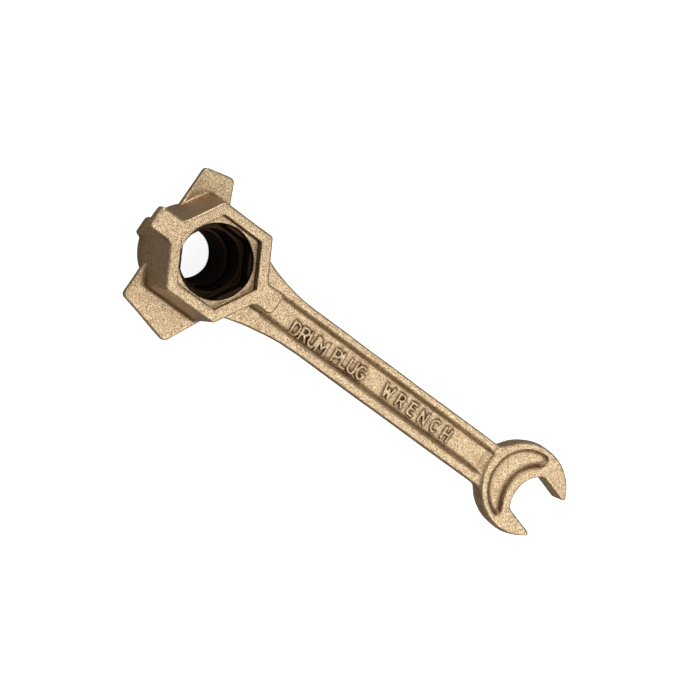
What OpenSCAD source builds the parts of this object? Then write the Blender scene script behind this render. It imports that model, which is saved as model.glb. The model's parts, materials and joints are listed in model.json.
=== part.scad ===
// Cast drum plug wrench: a stepped socket head, an I-section handle and an
// open-end jaw, poured as one bronze casting.
// Frame: Z is the axis of the socket, X runs along the handle to the jaw,
// the underside of the socket head rests on z = 0.

/* [Socket head] */
// Height of the head from its lower rim to its upper face
head_h = 71; // [60:1:80]
// Size across the flats of the head at its upper face
head_af = 60; // [56:0.5:66]
// Draft angle of the head walls, in degrees
head_draft = 4.4; // [0:0.2:6]
// Radius of the lower rim of the round boss
boss_r = 29.1; // [27:0.1:31]

/* [Sockets and bores] */
// Size across the flats of the wide hexagonal recess
recess_af = 47; // [42:0.5:50]
// Depth of the wide hexagonal recess
recess_depth = 6; // [3:0.5:10]
// Size across the flats of the inner hexagonal socket
socket_af = 39.5; // [36:0.5:42]
// Radius of the round mouth of the inner socket
mouth_r = 22; // [20:0.1:23]
// Depth of the floor of the inner socket below the upper face
socket_depth = 20; // [16:0.5:24]
// Radius of the middle bore
middle_r = 17.8; // [16:0.1:19]
// Depth of the floor of the middle bore below the upper face
middle_depth = 41; // [34:0.5:46]
// Radius of the through bore
through_r = 15.2; // [12:0.1:15.8]

/* [Lugs and wings] */
// Width of the two lugs at the upper face
lug_w = 14; // [10:0.5:18]
// Reach of the outer lug from the socket axis
outer_lug_reach = 46; // [42:0.5:50]
// Height of the outer lug
outer_lug_h = 10; // [8:0.5:16]
// Reach of the lug that stands on the handle
inner_lug_reach = 43.5; // [41:0.5:46]
// Height of the upper side of the wings above the lower rim
wing_z = 34.5; // [30:0.5:38]
// Thickness of the wings
wing_t = 6; // [4:0.5:8]
// Width of the wide wing along its outer edge
wide_wing_w = 36.2; // [30:0.1:40]
// Width of the narrow wing along its outer edge
narrow_wing_w = 18; // [12:0.5:24]
// Side of the wide wing that faces away from the handle
wing_x = -25.6; // [-28:0.1:-22]
// How much further back the same side of the narrow wing lies
narrow_wing_offset = 2.4; // [0:0.1:4]
// Reach of both wings at that side
wing_reach = 44; // [40:0.1:46]

/* [Handle] */
// Width of the handle
handle_w = 28; // [24:0.5:32]
// Thickness of the handle at its rims
handle_t = 11; // [9:0.5:14]
// Height of the middle plane of the handle above the lower rim
handle_z = 43.5; // [40:0.5:46]
// Width of the floor of the recessed web
web_w = 14.3; // [11:0.1:17]
// How far the middle of the web lies to the +Y side of the handle's middle
web_y = 0.7; // [-1:0.1:1]
// Thickness of the recessed web
web_t = 4.5; // [3:0.5:6]

/* [Jaw] */
// Distance from the socket axis to the centre of the jaw
jaw_x = 247.5; // [230:0.5:270]
// How far the centre of the jaw lies to the +Y side of the handle's middle
jaw_y = 1.2; // [-2:0.1:2]
// Half the width of the jaw across its prongs, at its middle plane
jaw_r = 28.9; // [27:0.1:32]
// Thickness of the jaw
jaw_t = 15; // [12:0.5:17]
// Size across the flats of the jaw opening
jaw_af = 28.8; // [24:0.1:32]
// Angle between the jaw opening and the handle, in degrees
jaw_angle = 15; // [0:1:30]

/* [Hidden] */
round_fn = 96;
edge_fn = 48;
over = 1;

upper_face = head_h;
lower_af = head_af + 2 * (head_h - wing_z) * tan(head_draft);
wing_base = wing_z - wing_t;
boss_taper = 1.8;
foot_proud = 2.7;
foot_lug_low = -8;
foot_lug_high = 5;
foot_lug_h = 22;
foot_cone_low = 33.5;
foot_cone_high = 28.5;
foot_low_r = 2;
foot_high_r = 3;
foot_reach = boss_r + foot_proud;
corner_trim = 0.45;
wing_rake = 13.4;
wing_back_rake = 26.7;
wing_corner_r = 3;
lug_corner_r = 1.8;
lug_root_r = 6;
root_sink = 0.2;

handle_base = handle_z - handle_t / 2;
flare_x = 70;
flare_r = 110;
wide_flare_x = 80;
wide_flare_r = 170;
neck_x = 20;
neck_half_w = 24.5;
flare_fn = 360;
side_draft = 0.4;
channel_draft = 1.1;
jaw_fillet = 5;
jaw_draft = 0.9;
jaw_bulge = 1.9;
jaw_arc_r = jaw_r + jaw_bulge;
web_ramp = 2.5;

throat_r = 20;
throat_back = -3.2;
tip_r = 2.3;
pocket_rim = 4.4;
pocket_outer_r = jaw_r - pocket_rim;
pocket_inner_r = 24;
pocket_inner_x = 14.8;
pocket_end = -1;
pocket_end_tilt = 4;
pocket_depth = 2.8;

// A unit vector along v
function unit(v) = v / norm(v);

// Points of the arc that rounds the corner p between q and s with radius r
function corner_arc(q, p, s, r, steps = 6) =
    let (u = unit(q - p), v = unit(s - p),
         half = acos(u * v) / 2,
         centre = p + unit(u + v) * r / sin(half),
         from = p + u * r / tan(half) - centre,
         to = p + v * r / tan(half) - centre,
         start = atan2(from.y, from.x),
         turn = (atan2(to.y, to.x) - start + 540) % 360 - 180)
    [for (i = [0:steps])
        centre + r * [cos(start + turn * i / steps), sin(start + turn * i / steps)]];

// An outline whose corners are all rounded with radius r
function rounded(points, r) =
    let (n = len(points))
    [for (i = [0:n - 1])
        each corner_arc(points[(i + n - 1) % n], points[i], points[(i + 1) % n], r)];

// A hexagonal prism with corners on the X axis, measured across its flats
module hexagon(af, h) {
    cylinder(h = h, r = af / 2 / cos(30), $fn = 6);
}

// The hexagonal upper part of the head, with drafted walls and trimmed corners
module hex_head() {
    h = head_h - wing_base;
    top_r = head_af / 2 / cos(30);
    low_r = lower_af / 2 / cos(30);
    translate([0, 0, wing_base])
        intersection() {
            cylinder(h = h, r1 = low_r, r2 = top_r, $fn = 6);
            cylinder(h = h, r1 = low_r - corner_trim, r2 = top_r - corner_trim, $fn = round_fn);
        }
}

// A short lug on the rim of the boss, reaching along -X and sloping up into the boss
module foot_lug() {
    root_low = [-middle_r, foot_lug_low];
    root_high = [-middle_r, foot_lug_high];
    tip_low = [-foot_reach, foot_lug_low];
    tip_high = [-foot_reach, foot_lug_high];
    intersection() {
        linear_extrude(foot_lug_h)
            polygon(concat([root_high, root_low],
                           corner_arc(root_low, tip_low, tip_high, foot_low_r),
                           corner_arc(tip_low, tip_high, root_high, foot_high_r)));
        cylinder(h = foot_lug_h, r1 = foot_cone_low, r2 = foot_cone_high, $fn = round_fn);
    }
}

// The round boss below the wings, with a short lug on either side of its rim
module boss() {
    cylinder(h = wing_base + over, r1 = boss_r, r2 = boss_r + boss_taper, $fn = round_fn);
    for (turn = [0, 180])
        rotate([0, 0, turn])
            foot_lug();
}

// The hollow corner between the +Y side of a lug and the head's upper edge
module lug_root() {
    y = lug_w / 2 - root_sink;
    corner = [y / tan(60) - (head_af / 2 - root_sink) / cos(30), y];
    along_lug = corner - [lug_root_r, 0];
    along_head = corner + lug_root_r * [cos(60), sin(60)];
    polygon(concat([[-through_r, 0]], corner_arc(along_lug, corner, along_head, lug_root_r)));
}

// A lug with a curved end, reaching along -X from the head
module lug(reach, z, h) {
    root = through_r;
    translate([0, 0, z]) {
        intersection() {
            linear_extrude(h)
                polygon(rounded([[-reach, -lug_w / 2], [-root, -lug_w / 2],
                                 [-root, lug_w / 2], [-reach, lug_w / 2]], lug_corner_r));
            cylinder(h = h, r = reach, $fn = round_fn);
        }
        linear_extrude(h) {
            lug_root();
            mirror([0, 1])
                lug_root();
        }
    }
}

// The wing plate on the +Y side: its back side at x, w wide at its outer edge
module wing(x, w) {
    outer_y = wing_reach + w * tan(wing_rake);
    front_x = x + w + outer_y * tan(wing_back_rake);
    translate([0, 0, wing_base])
        linear_extrude(wing_t)
            polygon(concat([[x, 0]],
                           corner_arc([x, 0], [x, wing_reach], [x + w, outer_y], wing_corner_r),
                           corner_arc([x, wing_reach], [x + w, outer_y], [front_x, 0],
                                      wing_corner_r),
                           [[front_x, 0]]));
}

// Stepped sockets and bores along the head's axis, cut from above
module head_bores() {
    lead_in = 3;
    translate([0, 0, upper_face - recess_depth])
        hexagon(recess_af, recess_depth + over);
    translate([0, 0, upper_face - recess_depth - lead_in])
        cylinder(h = lead_in + over, r = mouth_r, $fn = round_fn);
    translate([0, 0, upper_face - socket_depth])
        intersection() {
            hexagon(socket_af, socket_depth);
            cylinder(h = socket_depth - recess_depth, r = mouth_r, $fn = round_fn);
        }
    translate([0, 0, upper_face - middle_depth])
        cylinder(h = middle_depth, r = middle_r, $fn = round_fn);
    translate([0, 0, -over])
        cylinder(h = upper_face, r = through_r, $fn = round_fn);
}

// Cuts a drafted concave side of radius r out of one face of the handle
module side_cutter(r) {
    cylinder(h = handle_t / 2 + over, r1 = r, r2 = r + side_draft, $fn = flare_fn);
}

// The +Y side of the neck, which widens towards the head along an arc of
// radius r that ends at x, above the middle plane
module neck_quarter(x, r) {
    difference() {
        translate([neck_x, 0, 0])
            cube([x - neck_x, neck_half_w, handle_t / 2]);
        translate([x, handle_w / 2 + r, 0])
            side_cutter(r);
    }
}

// The fillet between the handle and the jaw on one side, above the middle plane
module jaw_fillet_half(side) {
    arc_x = jaw_x - side * jaw_bulge * sin(jaw_angle);
    arc_y = jaw_y - side * jaw_bulge * cos(jaw_angle);
    y = side * (handle_w / 2 + jaw_fillet);
    x = arc_x - sqrt(pow(jaw_arc_r + jaw_fillet, 2) - pow(y - arc_y, 2));
    difference() {
        linear_extrude(handle_t / 2)
            polygon([[x, 0], [x, y], [jaw_x, jaw_y]]);
        translate([x, y, 0])
            side_cutter(jaw_fillet);
    }
}

// The straight bar of the handle, above the middle plane
module bar_half() {
    half = handle_w / 2;
    h = handle_t / 2;
    translate([flare_x, 0, 0])
        rotate([90, 0, 90])
            linear_extrude(jaw_x - flare_x)
                polygon([[-half, 0], [half, 0], [half - side_draft, h], [side_draft - half, h]]);
}

// The long recess above the web, drafted towards its floor, with a ramp up to the jaw
module channel() {
    depth = (handle_t - web_t) / 2;
    half = web_w / 2;
    lip = half + channel_draft;
    difference() {
        translate([mouth_r, web_y, web_t / 2])
            rotate([90, 0, 90])
                linear_extrude(jaw_x - mouth_r)
                    polygon([[-half, 0], [half, 0], [lip, depth], [lip, depth + over],
                             [-lip, depth + over], [-lip, depth]]);
        translate([jaw_x, jaw_y, web_t / 2])
            cylinder(h = depth + over, r1 = jaw_arc_r + web_ramp,
                     r2 = jaw_arc_r - jaw_draft - web_ramp / 2, $fn = round_fn);
    }
}

// The handle: two rims joined by a thinner web, alike on both faces
module handle() {
    translate([0, 0, handle_z])
        for (face = [0, 1])
            mirror([0, 0, face])
                difference() {
                    union() {
                        neck_quarter(flare_x, flare_r);
                        mirror([0, 1, 0])
                            neck_quarter(wide_flare_x, wide_flare_r);
                        bar_half();
                        jaw_fillet_half(1);
                        jaw_fillet_half(-1);
                    }
                    channel();
                    translate([jaw_x, jaw_y, -over])
                        cylinder(h = handle_t, r = jaw_r - jaw_draft - over, $fn = round_fn);
                }
}

// Opening of the jaw: two parallel flats and a curved throat
module jaw_opening() {
    half = jaw_af / 2;
    intersection() {
        translate([throat_back, -half])
            square([2 * jaw_r, jaw_af]);
        translate([throat_back + throat_r, 0]) {
            circle(throat_r, $fn = round_fn);
            translate([0, -half])
                square([2 * jaw_r, jaw_af]);
        }
    }
}

// Flat outline of the jaw around its own centre, opening towards +X
module jaw_outline() {
    tip_y = jaw_af / 2 + tip_r;
    tip_x = sqrt(pow(jaw_arc_r - tip_r, 2) - pow(tip_y + jaw_bulge, 2));
    far = 2 * jaw_r;
    far_y = tip_y + (far - tip_x) * (tip_y + jaw_bulge) / tip_x;
    difference() {
        circle(jaw_arc_r, $fn = round_fn);
        jaw_opening();
        for (side = [-1, 1])
            polygon([[tip_x, side * tip_y], [tip_x, 0], [far, 0], [far, side * far_y]]);
    }
    for (side = [-1, 1])
        translate([tip_x, side * tip_y])
            circle(tip_r, $fn = edge_fn);
}

// Crescent pocket sunk into one face of the jaw
module jaw_pocket() {
    linear_extrude(pocket_depth + over)
        difference() {
            circle(pocket_outer_r, $fn = round_fn);
            translate([pocket_inner_x, 0])
                circle(pocket_inner_r, $fn = round_fn);
            rotate([0, 0, pocket_end_tilt])
                translate([pocket_end, -jaw_r])
                    square([2 * jaw_r, 2 * jaw_r]);
        }
}

// The drafted cone that bounds the prong on one side, above the middle plane
module jaw_flank(side) {
    translate([0, -side * jaw_bulge, 0])
        cylinder(h = jaw_t / 2, r1 = jaw_arc_r, r2 = jaw_arc_r - jaw_draft, $fn = round_fn);
}

// One face of the jaw above its middle plane, opening towards +X
module jaw_half() {
    h = jaw_t / 2;
    difference() {
        intersection() {
            linear_extrude(h)
                jaw_outline();
            jaw_flank(1);
            jaw_flank(-1);
        }
        translate([0, 0, h - pocket_depth])
            jaw_pocket();
    }
}

// The open-end jaw, turned away from the line of the handle, alike on both faces
module jaw() {
    translate([jaw_x, jaw_y, handle_z])
        rotate([0, 0, -jaw_angle])
            for (face = [0, 1])
                mirror([0, 0, face])
                    jaw_half();
}

// The whole tool is one bronze casting
module wrench_casting() {
    color("peru")
        difference() {
            union() {
                hex_head();
                boss();
                lug(outer_lug_reach, upper_face - outer_lug_h, outer_lug_h);
                mirror([1, 0, 0])
                    lug(inner_lug_reach, handle_base, upper_face - handle_base);
                wing(wing_x - narrow_wing_offset, narrow_wing_w);
                mirror([0, 1, 0])
                    wing(wing_x, wide_wing_w);
                handle();
                jaw();
            }
            head_bores();
        }
}

wrench_casting();
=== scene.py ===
"""Looks of the cast bronze drum plug wrench: softened mesh, bronze skin, stage, light and camera."""

import json
import math

import bpy
import numpy as np
import openvdb
from mathutils import Matrix, Vector


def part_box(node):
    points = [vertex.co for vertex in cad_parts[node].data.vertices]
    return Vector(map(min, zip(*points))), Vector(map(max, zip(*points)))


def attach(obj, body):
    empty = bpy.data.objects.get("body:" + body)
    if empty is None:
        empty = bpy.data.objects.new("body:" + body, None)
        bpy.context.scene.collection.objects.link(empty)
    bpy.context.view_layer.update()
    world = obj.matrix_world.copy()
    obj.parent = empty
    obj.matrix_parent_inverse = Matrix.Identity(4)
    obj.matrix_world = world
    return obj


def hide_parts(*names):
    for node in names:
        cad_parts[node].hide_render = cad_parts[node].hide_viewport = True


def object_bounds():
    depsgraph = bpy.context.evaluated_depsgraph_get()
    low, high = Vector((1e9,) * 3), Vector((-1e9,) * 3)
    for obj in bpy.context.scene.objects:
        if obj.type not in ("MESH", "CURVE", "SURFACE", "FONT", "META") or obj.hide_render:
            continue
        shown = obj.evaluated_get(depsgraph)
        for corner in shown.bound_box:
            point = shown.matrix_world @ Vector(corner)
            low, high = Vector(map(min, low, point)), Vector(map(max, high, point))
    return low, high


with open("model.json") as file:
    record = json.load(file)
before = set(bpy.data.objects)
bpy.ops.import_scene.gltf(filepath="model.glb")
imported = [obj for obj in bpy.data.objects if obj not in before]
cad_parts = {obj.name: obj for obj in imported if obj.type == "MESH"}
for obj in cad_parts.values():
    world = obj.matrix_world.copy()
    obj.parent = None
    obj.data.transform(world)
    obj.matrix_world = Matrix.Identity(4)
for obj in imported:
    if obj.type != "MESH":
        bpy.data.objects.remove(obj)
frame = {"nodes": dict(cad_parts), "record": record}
CAD_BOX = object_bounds()

NODE = "wrench_casting"
BODY = "root"
MM = 0.001

# ---------------------------------------------------------------- places on the casting, in millimetres

# The jaw's centre, the middle plane of the handle and the floor of the wide recess come from the mounts.
MOUNTS = {mount["name"]: mount for mount in frame["record"]["mounts"]}
JAW_X, JAW_Y, HANDLE_Z = (value / MM for value in MOUNTS["jaw_opening"]["pos_m"])
JAW_AXIS = MOUNTS["jaw_opening"]["axis"]
RECESS_FLOOR_Z = MOUNTS["inner_socket"]["pos_m"][2] / MM

# Radii around the socket's axis: the round mouth, the wide recess, and where crisp edges end.
MOUTH_R = 22.0
RECESS_R = 27.0
CRISP_R = 27.6

# The handle: where its neck starts, half the width between its rims' tops, where the rims end at
# the jaw, and the middle and the upper face of the web.
NECK_X = 40.0
RIM_HALF = 11.0
RIM_END_X = JAW_X - 31.0
WEB_Y = 0.7
WEB_FACE_Z = HANDLE_Z + 2.25

# The part of the jaw, around its centre, that holds the pockets.
JAW_POCKET_R = 26.5

# ---------------------------------------------------------------- softening of the casting, in millimetres

VOXEL = 0.5
MAX_TRIANGLES = 196000

# Radii of the fillets in the inner corners and of the rounding on the outer edges.
HEAD_FILLET = 1.2
HANDLE_FILLET = 1.5
JAW_FILLET = 2.4
HEAD_EDGE = 0.6
SOFT_EDGE = 0.3
RIM_EDGE = 1.7

# Widths over which one region's softening turns into the next one's.
CRISP_FADE = 1.6
RIM_FADE = 1.2
NECK_FADE = 4.0

# Spacing, depth and seed of the two waves that roughen the sand-cast surface.
WAVES = ((14.0, 0.10, 3), (4.0, 0.045, 5))
WAVE_GAIN = 1.9

# ---------------------------------------------------------------- raised words on the web, in millimetres

# The strokes' half width and height, the rounding of their tops and the fillet at their feet.
STROKE_HALF = 0.85
STROKE_RISE = 1.0
STROKE_EDGE = 0.3
STROKE_BLEND = 0.3

# How far around a word the surface is reworked.
WORD_REACH = 3.0

# Each word's start on the web, its length, its letters' height and its slope in degrees.
WORDS = (
    {"text": "DRUM PLUG", "start": (66.5, -6.3), "length": 54.0, "height": 7.9, "slope": 2.4},
    {"text": "WRENCH", "start": (136.0, -3.3), "length": 52.0, "height": 7.4, "slope": 0.0},
)


def line(*points):
    """A stroke through the given points."""
    return [np.array(point, float) for point in points]


def arc(cx, cy, rx, ry, start, end, steps=10):
    """A stroke along part of an ellipse, from one angle to another in degrees."""
    angles = np.radians(np.linspace(start, end, steps + 1))
    return [np.array((cx + rx * math.cos(a), cy + ry * math.sin(a))) for a in angles]


def bowl(low, high, x, reach):
    """The round side of letters such as D and P, closed by two short flats."""
    middle = (low + high) / 2
    half = (high - low) / 2
    return [np.array((0.0, high))] + arc(x, middle, reach, half, 90, -90) + [np.array((0.0, low))]


# Each letter stands on y = 0, is 1 high, and is given with its width.
LETTERS = {
    "C": (0.62, [arc(0.34, 0.5, 0.34, 0.5, 48, 312)]),
    "D": (0.62, [line((0, 0), (0, 1)), bowl(0, 1, 0.24, 0.38)]),
    "E": (0.52, [line((0.52, 1), (0, 1), (0, 0), (0.52, 0)), line((0, 0.52), (0.42, 0.52))]),
    "G": (0.64, [arc(0.34, 0.5, 0.34, 0.5, 48, 350), line((0.66, 0.42), (0.40, 0.42))]),
    "H": (0.58, [line((0, 0), (0, 1)), line((0.58, 0), (0.58, 1)), line((0, 0.5), (0.58, 0.5))]),
    "L": (0.50, [line((0, 1), (0, 0), (0.50, 0))]),
    "M": (0.76, [line((0, 0), (0, 1), (0.38, 0.30), (0.76, 1), (0.76, 0))]),
    "N": (0.60, [line((0, 0), (0, 1), (0.60, 0), (0.60, 1))]),
    "P": (0.56, [line((0, 0), (0, 1)), bowl(0.46, 1, 0.28, 0.28)]),
    "R": (0.58, [line((0, 0), (0, 1)), bowl(0.48, 1, 0.28, 0.28), line((0.28, 0.48), (0.58, 0))]),
    "U": (0.58, [line((0, 1), (0, 0.3)) + arc(0.29, 0.3, 0.29, 0.3, 180, 360) + line((0.58, 1))]),
    "W": (0.84, [line((0, 1), (0.20, 0), (0.42, 0.72), (0.64, 0), (0.84, 1))]),
    " ": (0.30, []),
}


def word_strokes(word):
    """Strokes of one word in the row frame, spread evenly over the word's length."""
    widths = [LETTERS[letter][0] * word["height"] for letter in word["text"]]
    gap = (word["length"] - sum(widths)) / (len(widths) - 1)
    slope = math.radians(word["slope"])
    along = np.array((math.cos(slope), math.sin(slope)))
    upward = np.array((-math.sin(slope), math.cos(slope)))
    origin = np.array(word["start"], float)
    strokes = []
    pen = 0.0
    for letter, width in zip(word["text"], widths):
        for stroke in LETTERS[letter][1]:
            strokes.append([origin + along * (pen + point[0] * word["height"])
                            + upward * point[1] * word["height"] for point in stroke])
        pen += width + gap
    return strokes


# ---------------------------------------------------------------- distance fields, in millimetres


def mesh_arrays(mesh):
    """Vertices in millimetres and triangles of a mesh, as arrays."""
    mesh.calc_loop_triangles()
    points = np.empty(len(mesh.vertices) * 3, np.float32)
    mesh.vertices.foreach_get("co", points)
    triangles = np.empty(len(mesh.loop_triangles) * 3, np.int32)
    mesh.loop_triangles.foreach_get("vertices", triangles)
    return points.reshape(-1, 3) / MM, triangles.reshape(-1, 3).astype(np.uint32)


def distance_field(points, band, triangles=None, quads=None):
    """Signed distance to a closed mesh, exact within band of its surface."""
    voxels = band / VOXEL + 3
    return openvdb.FloatGrid.createLevelSetFromPolygons(
        points, triangles=triangles, quads=quads,
        transform=openvdb.createLinearTransform(VOXEL),
        exBandWidth=voxels, inBandWidth=voxels)


def softened(grid, fillet, edge):
    """Rolls a ball along the surface: fillet rounds the inner corners, edge the outer ones."""
    points, quads = grid.convertToQuads(fillet)
    grown = distance_field(points, fillet + edge, quads=quads)
    points, quads = grown.convertToQuads(-fillet - edge)
    shrunk = distance_field(points, edge + 2 * VOXEL, quads=quads)
    return shrunk, edge


class Lattice:
    """The block of voxels that holds the whole casting, with its coordinates in millimetres."""

    def __init__(self, low, high):
        margin = 4
        self.low = np.floor(np.array(low) / VOXEL).astype(int) - margin
        self.high = np.ceil(np.array(high) / VOXEL).astype(int) + margin
        self.shape = tuple(self.high - self.low + 1)

    def axes(self):
        """Coordinates along x, y and z, shaped so that they broadcast over the block."""
        x, y, z = (np.arange(self.low[i], self.high[i] + 1, dtype=np.float32) * VOXEL for i in range(3))
        return x[:, None, None], y[None, :, None], z[None, None, :]

    def read(self, grid, offset):
        """Values of a grid on the block, less offset."""
        values = np.empty(self.shape, np.float32)
        grid.copyToArray(values, ijk=tuple(int(v) for v in self.low))
        return values - np.float32(offset)

    def surface(self, values):
        """Points in millimetres and quads of the surface where the values are zero."""
        band = 2 * VOXEL
        grid = openvdb.FloatGrid(band)
        grid.transform = openvdb.createLinearTransform(VOXEL)
        grid.copyFromArray(np.clip(values, -band, band), ijk=tuple(int(v) for v in self.low))
        return grid.convertToQuads(0)


def smooth_step(t):
    """Rises smoothly from 0 to 1 as t goes from 0 to 1."""
    t = np.clip(t, 0, 1)
    return t * t * (3 - 2 * t)


def smooth_union(a, b, blend):
    """The nearer of two distances, with a fillet of about blend where they meet."""
    h = np.clip(0.5 + 0.5 * (b - a) / blend, 0, 1)
    return b + (a - b) * h - blend * h * (1 - h)


def stroke_distance(strokes, px, py):
    """Distance in the plane from each point to the nearest stroke, up to WORD_REACH."""
    flat = np.full((px.shape[0], py.shape[1]), WORD_REACH, np.float32)
    for stroke in strokes:
        for a, b in zip(stroke[:-1], stroke[1:]):
            run = b - a
            t = np.clip(((px - a[0]) * run[0] + (py - a[1]) * run[1]) / (run @ run), 0, 1)
            flat = np.minimum(flat, np.hypot(px - a[0] - t * run[0], py - a[1] - t * run[1]))
    return flat


def add_words(values, lattice):
    """Raises the words out of the web as flat-topped strokes that melt into its floor."""
    x, y, z = lattice.axes()
    for word in WORDS:
        strokes = word_strokes(word)
        corners = np.array([point for stroke in strokes for point in stroke])
        low = corners.min(0) - WORD_REACH
        high = corners.max(0) + WORD_REACH
        ix = np.flatnonzero((x[:, 0, 0] > low[0]) & (x[:, 0, 0] < high[0]))
        iy = np.flatnonzero((y[0, :, 0] > low[1]) & (y[0, :, 0] < high[1]))
        iz = np.flatnonzero(np.abs(z[0, 0, :] - WEB_FACE_Z) < WORD_REACH)
        window = (slice(ix[0], ix[-1] + 1), slice(iy[0], iy[-1] + 1), slice(iz[0], iz[-1] + 1))
        px = x[window[0], :, 0]
        py = y[:, window[1], 0]
        flat = stroke_distance(strokes, px, py)
        across = flat[:, :, None] - (STROKE_HALF - STROKE_EDGE)
        above = np.abs(z[:, :, window[2]] - WEB_FACE_Z) - (STROKE_RISE - STROKE_EDGE)
        ridge = np.hypot(np.maximum(across, 0), np.maximum(above, 0)) - STROKE_EDGE
        ridge += np.minimum(np.maximum(across, above), 0)
        values[window] = smooth_union(values[window], ridge, STROKE_BLEND)


def spline_weights(count, spacing, cells):
    """Weights that spread random values, one per spacing, over count samples as a smooth curve."""
    position = np.arange(count) * VOXEL / spacing
    nearest = np.floor(position).astype(int)
    t = position - nearest
    weights = np.zeros((count, cells))
    basis = ((1 - t) ** 3, 3 * t ** 3 - 6 * t ** 2 + 4, -3 * t ** 3 + 3 * t ** 2 + 3 * t + 1, t ** 3)
    for k in range(4):
        weights[np.arange(count), nearest + k] = basis[k] / 6
    return weights.astype(np.float32)


def waviness(shape, spacing, depth, seed):
    """Smooth random bumps over the whole block, about spacing wide and depth high."""
    cells = [int(count * VOXEL / spacing) + 5 for count in shape]
    noise = np.random.default_rng(seed).standard_normal(cells).astype(np.float32)
    for axis in range(3):
        weights = spline_weights(shape[axis], spacing, cells[axis])
        noise = np.moveaxis(np.tensordot(weights, noise, axes=(1, axis)), 0, axis)
    return noise * np.float32(depth * WAVE_GAIN)


def softened_regions(lattice):
    """Each region's share of the block, with the fillet and the edge rounding it gets."""
    x, y = lattice.axes()[:2]
    outside = smooth_step((np.sqrt(x ** 2 + y ** 2) - CRISP_R) / CRISP_FADE)
    past_neck = smooth_step((x - NECK_X) / NECK_FADE)
    between_rims = past_neck * smooth_step((RIM_HALF + RIM_FADE - np.abs(y)) / RIM_FADE)
    between_rims = between_rims * smooth_step((RIM_END_X - x) / NECK_FADE)
    jaw_r = np.sqrt((x - JAW_X) ** 2 + (y - JAW_Y) ** 2)
    in_jaw = smooth_step((JAW_POCKET_R - jaw_r) / CRISP_FADE)
    return (
        (outside, HEAD_FILLET, HEAD_EDGE),
        (past_neck, HANDLE_FILLET, SOFT_EDGE),
        (between_rims, HANDLE_FILLET, RIM_EDGE),
        (in_jaw, JAW_FILLET, SOFT_EDGE),
    )


def casting_surface():
    """Points in metres and quads of the softened casting."""
    points, triangles = mesh_arrays(frame["nodes"][NODE].data)
    lattice = Lattice(points.min(0), points.max(0))
    sharp = distance_field(points, JAW_FILLET, triangles=triangles)
    values = lattice.read(sharp, 0.0)
    for share, fillet, edge in softened_regions(lattice):
        values += (lattice.read(*softened(sharp, fillet, edge)) - values) * share
    add_words(values, lattice)
    for spacing, depth, seed in WAVES:
        values += waviness(lattice.shape, spacing, depth, seed)
    points, quads = lattice.surface(values)
    return points * MM, quads


def new_mesh_object(name, points, quads):
    """A smooth-shaded object from points and quads."""
    mesh = bpy.data.meshes.new(name)
    mesh.vertices.add(len(points))
    mesh.vertices.foreach_set("co", np.ascontiguousarray(points, np.float32).ravel())
    mesh.loops.add(quads.size)
    mesh.loops.foreach_set("vertex_index", np.ascontiguousarray(quads, np.int32).ravel())
    mesh.polygons.add(len(quads))
    mesh.polygons.foreach_set("loop_start", np.arange(0, quads.size, 4, dtype=np.int32))
    mesh.update(calc_edges=True)
    mesh.validate()
    mesh.polygons.foreach_set("use_smooth", np.ones(len(mesh.polygons), bool))
    piece = bpy.data.objects.new(name, mesh)
    bpy.context.scene.collection.objects.link(piece)
    return piece


def thin_out(piece, limit):
    """Brings a mesh under the given number of triangles, keeping its curved parts."""
    count = 2 * len(piece.data.polygons)
    if count <= limit:
        return
    modifier = piece.modifiers.new("thin_out", "DECIMATE")
    modifier.ratio = limit / count
    modifier.use_collapse_triangulate = True
    graph = bpy.context.evaluated_depsgraph_get()
    mesh = bpy.data.meshes.new_from_object(piece.evaluated_get(graph))
    piece.modifiers.clear()
    piece.data = mesh


# ---------------------------------------------------------------- bronze

PALE = (1.0, 0.79, 0.525, 1.0)
GOLD = (0.36, 0.225, 0.10, 1.0)
# Painted shade: brown laid into the creases and along the pockets' throat side; in the creases it also
# stands for the bronze's brown patina.
CREASE_SHADE_BROWN = (0.10, 0.034, 0.006, 1.0)
# Painted shade: multiplied onto upright walls to darken them.
WALL_SHADE = (0.53, 0.475, 0.415, 1.0)
# Painted shade: the near-black inside the sockets and bores.
SOCKET_SHADE = (0.040, 0.023, 0.013, 1.0)

# Pattern sizes, in cells per metre.
SPECK_SCALE = 2600.0
GRAIN_SCALE = 2400.0
CLUMP_SCALE = 450.0
CLOUD_SCALE = 40.0

# How far a corner's shade reaches, in metres, and the height of the bumps.
CREASE_REACH = 0.0028
BUMP_DEPTH = 0.0006

# Fades: a value's low and high end, then what they turn into (0 and 1 when left out).
GRAIN_FADE = (0.34, 0.57)
CLUMP_FADE = (0.40, 0.75, 0.0, 0.12)
CLOUD_FADE = (0.35, 0.65, 0.0, 0.10)
CREASE_FADE = (0.77, 0.95, 1.0, 0.0)
WALL_FADE = (0.15, 0.45, 1.0, 0.0)
ROUGH_FADE = (0.3, 0.7, 0.34, 0.46)
LEDGE_LEVEL = (0.8, 0.95, 0.0, 0.8)

# Fades in millimetres: the painted shade inside the head, and the ledge above it, kept free of painted
# crease shade.
SOCKET_SHADE_WIDTH = (MOUTH_R + 0.1, MOUTH_R + 0.5, 1.0, 0.0)
SOCKET_SHADE_TOP = (RECESS_FLOOR_Z - 0.9, RECESS_FLOOR_Z - 0.3, 1.0, 0.0)
SOCKET_SHADE_BOTTOM = (0.5, 1.5)
LEDGE_WIDTH = (RECESS_R, RECESS_R + 0.6, 1.0, 0.0)
LEDGE_HEIGHT = (RECESS_FLOOR_Z - 0.9, RECESS_FLOOR_Z - 0.3)

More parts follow.
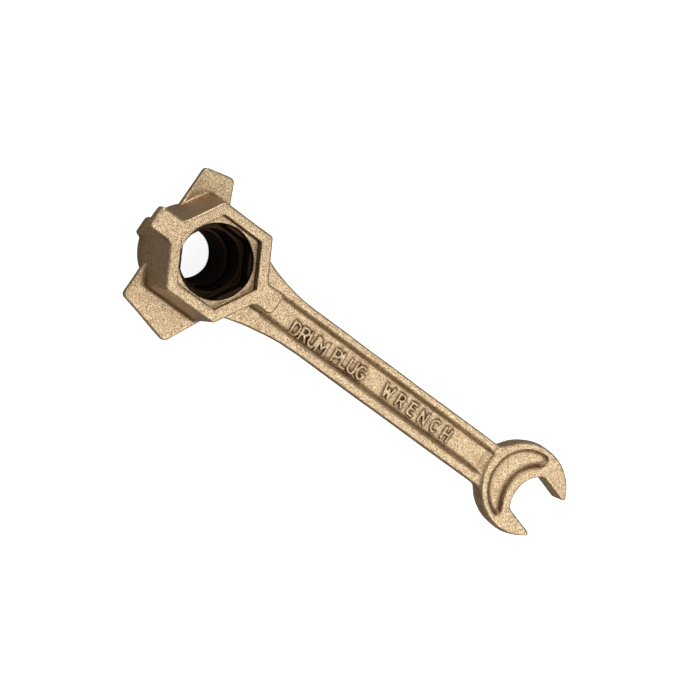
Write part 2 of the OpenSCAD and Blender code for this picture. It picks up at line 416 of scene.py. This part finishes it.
# Fades in millimetres: the slope at the end of the web, kept free of painted crease shade, counted from
# the jaw's centre.
SLOPE_NEAR = (28.0, 29.0)
SLOPE_FAR = (38.0, 41.0, 1.0, 0.0)
SLOPE_SIDES = (6.0, 7.0, 1.0, 0.0)

# How far the circle along the pockets' throat side lies ahead of the jaw's centre, in millimetres.
POCKET_SIDE_X = 14.8

# Fades in millimetres: the painted shadow along the throat side of the pockets.
POCKET_SIDE_NEAR = (23.8, 24.8)
POCKET_SIDE_FAR = (25.4, 28.6, 0.85, 0.0)
POCKET_WIDTH = (24.6, 25.2, 1.0, 0.0)
POCKET_DEPTH = (6.9, 7.3, 1.0, 0.0)


class Nodes:
    """Short calls for building a node tree."""

    def __init__(self, tree):
        self.tree = tree
        tree.nodes.clear()

    def add(self, kind, inputs=None, **settings):
        """A new node with its settings and its inputs filled in."""
        node = self.tree.nodes.new(kind)
        for key, value in settings.items():
            setattr(node, key, value)
        for key, value in (inputs or {}).items():
            self.put(node.inputs[key], value)
        return node

    def put(self, socket, value):
        """Links another node's output to a socket, or sets the socket to a plain value."""
        if isinstance(value, bpy.types.NodeSocket):
            self.tree.links.new(value, socket)
        else:
            socket.default_value = value

    def noise(self, coords, scale, detail, rough):
        """Noise value from 0 to 1, with scale in cells per metre."""
        node = self.add("ShaderNodeTexNoise", {
            "Vector": coords, "Scale": scale, "Detail": detail, "Roughness": rough})
        return node.outputs["Fac"]

    def specks(self, coords, scale):
        """Small cells, each with its own random value from 0 to 1."""
        node = self.add("ShaderNodeTexVoronoi", {"Vector": coords, "Scale": scale})
        return self.add("ShaderNodeSeparateXYZ", {0: node.outputs["Color"]}).outputs["X"]

    def spread(self, value, low, high, to_low=0.0, to_high=1.0):
        """Maps low..high to to_low..to_high, clamped."""
        node = self.add("ShaderNodeMapRange", {
            "Value": value, "From Min": low, "From Max": high, "To Min": to_low, "To Max": to_high})
        return node.outputs["Result"]

    def mix(self, factor, a, b, blend="MIX"):
        """Mixes two colours."""
        node = self.add("ShaderNodeMix", data_type="RGBA", blend_type=blend)
        self.put(node.inputs["Factor"], factor)
        self.put(node.inputs[6], a)
        self.put(node.inputs[7], b)
        return node.outputs[2]

    def math(self, operation, a, b):
        """The result of one operation on two values."""
        node = self.add("ShaderNodeMath", {0: a, 1: b}, operation=operation)
        return node.outputs[0]

    def product(self, first, *others):
        """All the given values multiplied together."""
        for other in others:
            first = self.math("MULTIPLY", first, other)
        return first

    def weighted(self, a, share_a, b, share_b):
        """The sum of two values, each times its share."""
        return self.math("ADD", self.math("MULTIPLY", a, share_a), self.math("MULTIPLY", b, share_b))

    def distance(self, value, middle):
        """How far a value lies from a fixed one, to either side."""
        return self.math("ABSOLUTE", self.math("SUBTRACT", value, middle), 0.0)


class Place:
    """Where the shaded point lies on the casting, in millimetres."""

    def __init__(self, n, coords):
        self.n = n
        scaled = n.add("ShaderNodeVectorMath", {0: coords, "Scale": 1 / MM}, operation="SCALE")
        self.point = scaled.outputs[0]
        split = n.add("ShaderNodeSeparateXYZ", {0: self.point})
        self.y = split.outputs["Y"]
        self.z = split.outputs["Z"]

    def radius(self, x, y):
        """Level distance from the upright line at x, y."""
        n = self.n
        shifted = n.add("ShaderNodeVectorMath", {0: self.point, 1: (x, y, 0.0)}, operation="SUBTRACT")
        split = n.add("ShaderNodeSeparateXYZ", {0: shifted.outputs[0]})
        level = n.add("ShaderNodeCombineXYZ", {"X": split.outputs["X"], "Y": split.outputs["Y"]})
        return n.add("ShaderNodeVectorMath", {0: level.outputs[0]}, operation="LENGTH").outputs["Value"]

    def inside_socket(self):
        """1 inside the sockets and bores below the recess floor, where shade is painted, 0 elsewhere."""
        n = self.n
        near = n.spread(self.radius(0.0, 0.0), *SOCKET_SHADE_WIDTH)
        return n.product(near, n.spread(self.z, *SOCKET_SHADE_TOP), n.spread(self.z, *SOCKET_SHADE_BOTTOM))

    def recess_ledge(self, facing_up):
        """Near 1 on the upward ledge around the mouth of the inner socket, kept free of painted crease
        shade, 0 elsewhere.
        """
        n = self.n
        inside = n.spread(self.radius(0.0, 0.0), *LEDGE_WIDTH)
        return n.product(n.spread(facing_up, *LEDGE_LEVEL), inside, n.spread(self.z, *LEDGE_HEIGHT))

    def web_end(self):
        """1 on the slope where the web runs up to the jaw, kept free of painted crease shade, 0 elsewhere.
        """
        n = self.n
        radius = self.radius(JAW_X, JAW_Y)
        inside = n.spread(n.distance(self.y, WEB_Y), *SLOPE_SIDES)
        return n.product(inside, n.spread(radius, *SLOPE_NEAR), n.spread(radius, *SLOPE_FAR))

    def pocket_shadow(self):
        """1 where shadow is painted along the throat side of the jaw's pockets, fading out over their
        floors.
        """
        n = self.n
        radius = self.radius(JAW_X + POCKET_SIDE_X * JAW_AXIS[0], JAW_Y + POCKET_SIDE_X * JAW_AXIS[1])
        band = n.product(n.spread(radius, *POCKET_SIDE_NEAR), n.spread(radius, *POCKET_SIDE_FAR))
        within = n.spread(self.radius(JAW_X, JAW_Y), *POCKET_WIDTH)
        return n.product(band, within, n.spread(n.distance(self.z, HANDLE_Z), *POCKET_DEPTH))


def with_painted_shade(n, coords, tint):
    """The tint with painted shade: brown in the creases and on the pockets' throat side, darker upright
    walls and dark sockets.
    """
    place = Place(n, coords)
    corner = n.add("ShaderNodeAmbientOcclusion", {"Distance": CREASE_REACH}, samples=8)
    normal = n.add("ShaderNodeNewGeometry").outputs["Normal"]
    facing_up = n.add("ShaderNodeSeparateXYZ", {0: normal}).outputs["Z"]
    slope_left_unshaded = n.math("SUBTRACT", 1.0, place.web_end())
    ledge_left_unshaded = n.math("SUBTRACT", 1.0, place.recess_ledge(facing_up))
    # Painted shade in the creases, where ambient occlusion finds them, left off the web's end slope and
    # the recess ledge.
    crease_shade = n.product(n.spread(corner.outputs["AO"], *CREASE_FADE), slope_left_unshaded, ledge_left_unshaded)
    # Painted shadow along the pockets' throat side, in the same brown.
    tint = n.mix(n.math("MAXIMUM", crease_shade, place.pocket_shadow()), tint, CREASE_SHADE_BROWN)
    # Painted shade: upright walls are multiplied darker than faces that look up.
    tint = n.mix(n.spread(n.distance(facing_up, 0.0), *WALL_FADE), tint, WALL_SHADE, "MULTIPLY")
    # Painted shade: the sockets and bores inside the head turn near black.
    return n.mix(place.inside_socket(), tint, SOCKET_SHADE)


def bronze_material():
    """Sand-cast bronze: pale gold grains, darker pits, and brown painted shade in the corners."""
    material = bpy.data.materials.new("cast_bronze")
    material.use_nodes = True
    n = Nodes(material.node_tree)
    coords = n.add("ShaderNodeTexCoord").outputs["Object"]
    speck = n.specks(coords, SPECK_SCALE)
    grain = n.noise(coords, GRAIN_SCALE, 1.0, 0.6)
    clumps = n.noise(coords, CLUMP_SCALE, 2.0, 0.5)
    clouds = n.noise(coords, CLOUD_SCALE, 3.0, 0.5)

    sand = n.weighted(speck, 0.5, grain, 0.5)
    tint = n.mix(n.spread(sand, *GRAIN_FADE), GOLD, PALE)
    tint = n.mix(n.spread(clumps, *CLUMP_FADE), tint, GOLD)
    tint = n.mix(n.spread(clouds, *CLOUD_FADE), tint, GOLD)

    height = n.weighted(sand, 0.8, clumps, 0.4)
    bump = n.add("ShaderNodeBump", {"Strength": 0.5, "Distance": BUMP_DEPTH, "Height": height})
    shader = n.add("ShaderNodeBsdfPrincipled", {
        "Base Color": with_painted_shade(n, coords, tint),
        "Metallic": 1.0,
        "Roughness": n.spread(clumps, *ROUGH_FADE),
        "Normal": bump.outputs["Normal"]})
    n.add("ShaderNodeOutputMaterial", {"Surface": shader.outputs["BSDF"]})
    return material


# ---------------------------------------------------------------- stage, light and camera

# The floor's half side and its gap under the head, in metres, and its colour and glow.
FLOOR_HALF = 6.0
FLOOR_GAP = 0.0005
FLOOR_SEEN = (0.85, 0.85, 0.85, 1.0)
FLOOR_REFLECTED = (0.50, 0.47, 0.44, 1.0)
FLOOR_GLOW = 0.90
WHITE = (1.0, 1.0, 1.0, 1.0)

# The surroundings as the bronze reflects them, with their strength at the horizon and overhead,
# and as the camera sees them.
SKY_REFLECTED = (1.0, 0.97, 0.93, 1.0)
SKY_STRENGTH = (0.08, 0.25)
SKY_SEEN = (0.95, 0.95, 0.95, 1.0)

CENTRE = (CAD_BOX[0] + CAD_BOX[1]) / 2

# Name, azimuth and elevation in degrees, distance and size in metres, and power in watts.
LIGHTS = (
    ("overhead", -18, 62, 1.6, 1.4, 12.5),
    ("front_fill", 170, 38, 1.8, 1.0, 4.6),
    ("side_fill", 135, 22, 1.8, 0.8, 12),
)

# Where the camera looks, from what side, from how far (metres) and through what lens (millimetres).
CAMERA_TARGET = Vector((0.1041, 0.0068, 0.046))
CAMERA_AZIMUTH = -163.78
CAMERA_ELEVATION = 68.21
CAMERA_ROLL = 109.07
CAMERA_DISTANCE = 1.4178
CAMERA_LENS = 123.74
SENSOR_WIDTH = 36.0
FAR_CLIP = 50.0


def floor_material():
    """Pale floor that shows its soft shadows faintly and stays dim in the bronze's reflections."""
    material = bpy.data.materials.new("pale_floor")
    material.use_nodes = True
    n = Nodes(material.node_tree)
    seen = n.add("ShaderNodeLightPath").outputs["Is Camera Ray"]
    shade = n.mix(seen, FLOOR_REFLECTED, FLOOR_SEEN)
    diffuse = n.add("ShaderNodeBsdfDiffuse", {"Color": shade})
    strength = n.math("MULTIPLY", seen, FLOOR_GLOW)
    glow = n.add("ShaderNodeEmission", {"Color": WHITE, "Strength": strength})
    both = n.add("ShaderNodeAddShader", {0: diffuse.outputs["BSDF"], 1: glow.outputs["Emission"]})
    n.add("ShaderNodeOutputMaterial", {"Surface": both.outputs["Shader"]})
    return material


def add_floor():
    """A wide plain floor under the lower rim of the head."""
    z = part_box(NODE)[0].z - FLOOR_GAP
    signs = ((-1, -1), (1, -1), (1, 1), (-1, 1))
    corners = [(FLOOR_HALF * x, FLOOR_HALF * y, z) for x, y in signs]
    mesh = bpy.data.meshes.new("floor")
    mesh.from_pydata(corners, [], [(0, 1, 2, 3)])
    mesh.materials.append(floor_material())
    floor = bpy.data.objects.new("floor", mesh)
    bpy.context.scene.collection.objects.link(floor)


def add_world():
    """Pale behind the object, dim in its reflections near the horizon, lighter overhead."""
    world = bpy.data.worlds.new("studio")
    bpy.context.scene.world = world
    world.use_nodes = True
    n = Nodes(world.node_tree)
    toward = n.add("ShaderNodeTexCoord").outputs["Generated"]
    up = n.add("ShaderNodeSeparateXYZ", {0: toward}).outputs["Z"]
    strength = n.spread(up, 0.0, 1.0, *SKY_STRENGTH)
    seen = n.add("ShaderNodeLightPath").outputs["Is Camera Ray"]
    around = n.add("ShaderNodeBackground", {"Color": SKY_REFLECTED, "Strength": strength})
    behind = n.add("ShaderNodeBackground", {"Color": SKY_SEEN, "Strength": 1.0})
    both = n.add("ShaderNodeMixShader", {0: seen, 1: around.outputs[0], 2: behind.outputs[0]})
    n.add("ShaderNodeOutputWorld", {"Surface": both.outputs[0]})


def direction(azimuth, elevation):
    """Unit vector at an azimuth counted from +X and an elevation, both in degrees."""
    a = math.radians(azimuth)
    e = math.radians(elevation)
    return Vector((math.cos(e) * math.cos(a), math.cos(e) * math.sin(a), math.sin(e)))


def add_light(name, azimuth, elevation, distance, size, power):
    """A square soft light aimed at the middle of the object."""
    lamp = bpy.data.lights.new(name, "AREA")
    lamp.shape = "SQUARE"
    lamp.size = size
    lamp.energy = power
    light = bpy.data.objects.new(name, lamp)
    toward = direction(azimuth, elevation)
    light.location = CENTRE + toward * distance
    light.rotation_euler = toward.to_track_quat("Z", "Y").to_euler()
    bpy.context.scene.collection.objects.link(light)


def add_camera():
    """A long lens above the head, turned so that the handle runs down to the right."""
    back = direction(CAMERA_AZIMUTH, CAMERA_ELEVATION)
    level = (-back).cross(Vector((0, 0, 1))).normalized()
    upward = level.cross(-back)
    roll = math.radians(CAMERA_ROLL)
    right = level * math.cos(roll) + upward * math.sin(roll)
    data = bpy.data.cameras.new("camera")
    data.lens = CAMERA_LENS
    data.sensor_width = SENSOR_WIDTH
    data.clip_end = FAR_CLIP
    camera = bpy.data.objects.new("camera", data)
    turn = Matrix((right, back.cross(right), back)).transposed()
    place = CAMERA_TARGET + back * CAMERA_DISTANCE
    camera.matrix_world = Matrix.Translation(place) @ turn.to_4x4()
    bpy.context.scene.collection.objects.link(camera)
    bpy.context.scene.camera = camera


# ---------------------------------------------------------------- build

casting = new_mesh_object("bronze_casting", *casting_surface())
thin_out(casting, MAX_TRIANGLES)
casting.data.materials.clear()
casting.data.materials.append(bronze_material())
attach(casting, BODY)
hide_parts(NODE)

add_floor()
add_world()
for light_values in LIGHTS:
    add_light(*light_values)
add_camera()
bpy.context.scene.view_settings.view_transform = "Standard"
